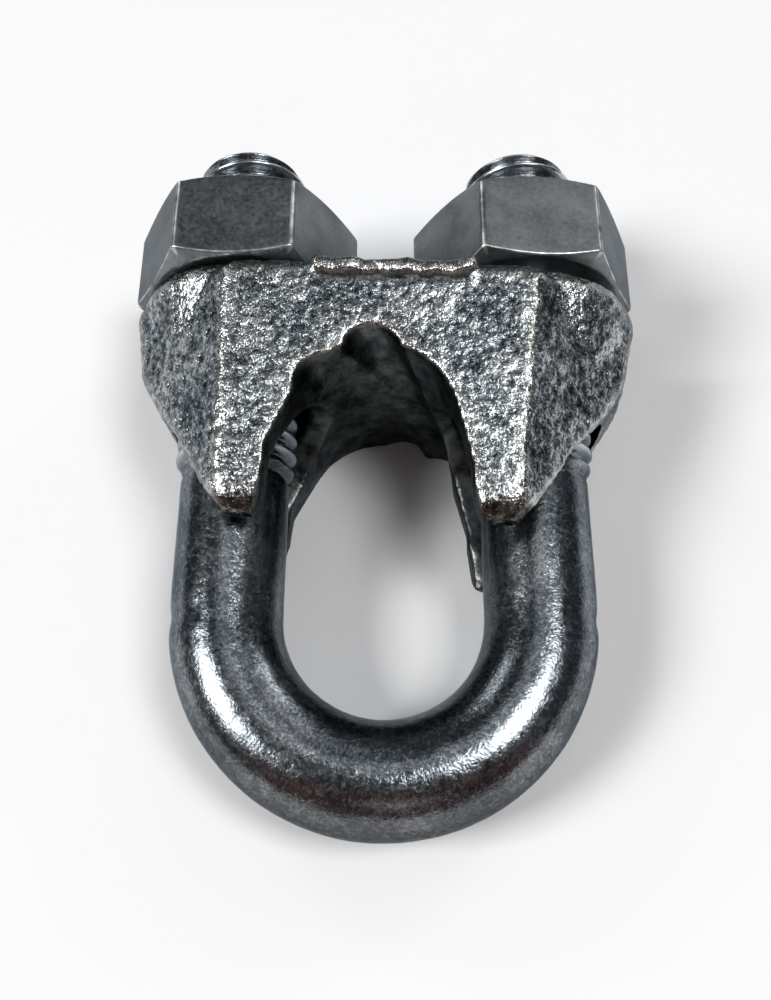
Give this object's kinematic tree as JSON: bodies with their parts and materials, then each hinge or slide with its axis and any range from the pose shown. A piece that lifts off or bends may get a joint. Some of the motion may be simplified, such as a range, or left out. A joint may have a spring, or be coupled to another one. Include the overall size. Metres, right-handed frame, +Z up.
{
  "type": "wire rope clip",
  "caption": "Wire rope clip: a threaded U-bolt, a cast saddle with claws and a grooved rope seat, and hexagon nuts that draw the saddle along the legs onto the rope.",
  "frame": {"origin": "middle of the bounding box's underside, on the surface that the clip lies on", "axes": "+Z up off that surface, +Y along the legs from the bend towards the nuts (the legs rise 6.5 degrees, because the clip lies on the saddle's drafted back), +X across the legs"},
  "size_m": [0.044, 0.059, 0.0209],
  "materials": {
    "zinc_bar": "bright zinc plating with a fine scaly grain on a bent round bar",
    "zinc_casting": "zinc plating over a rough sand-cast skin",
    "zinc_nut": "dull zinc plating with bright worn edges"
  },
  "bodies": {
    "u_bolt": {"u_bolt": "zinc_bar"},
    "saddle": {"saddle": "zinc_casting"},
    "nut_left": {"nut_left": "zinc_nut"},
    "nut_right": {"nut_right": "zinc_nut"}
  },
  "joints": [
    {"name": "saddle_slide", "type": "slide", "parent": "u_bolt", "child": "saddle", "axis": [0.0027, 0.9933, 0.1158], "range_m": [-0.0135, 0.006]},
    {"name": "nut_left_turn", "type": "hinge", "parent": "saddle", "child": "nut_left", "pos_m": [-0.01225, 0.01888, 0.01145], "axis": [0.0027, 0.9933, 0.1158], "range_deg": [-3245, 1445]},
    {"name": "nut_right_turn", "type": "hinge", "parent": "saddle", "child": "nut_right", "pos_m": [0.01222, 0.01894, 0.01032], "axis": [0.0027, 0.9933, 0.1158], "range_deg": [-3245, 1445]}
  ],
  "couplings": [
    {"joint": "nut_left_turn", "follows": "saddle_slide", "rad_per_m": 4188.8},
    {"joint": "nut_right_turn", "follows": "saddle_slide", "rad_per_m": 4188.8}
  ]
}
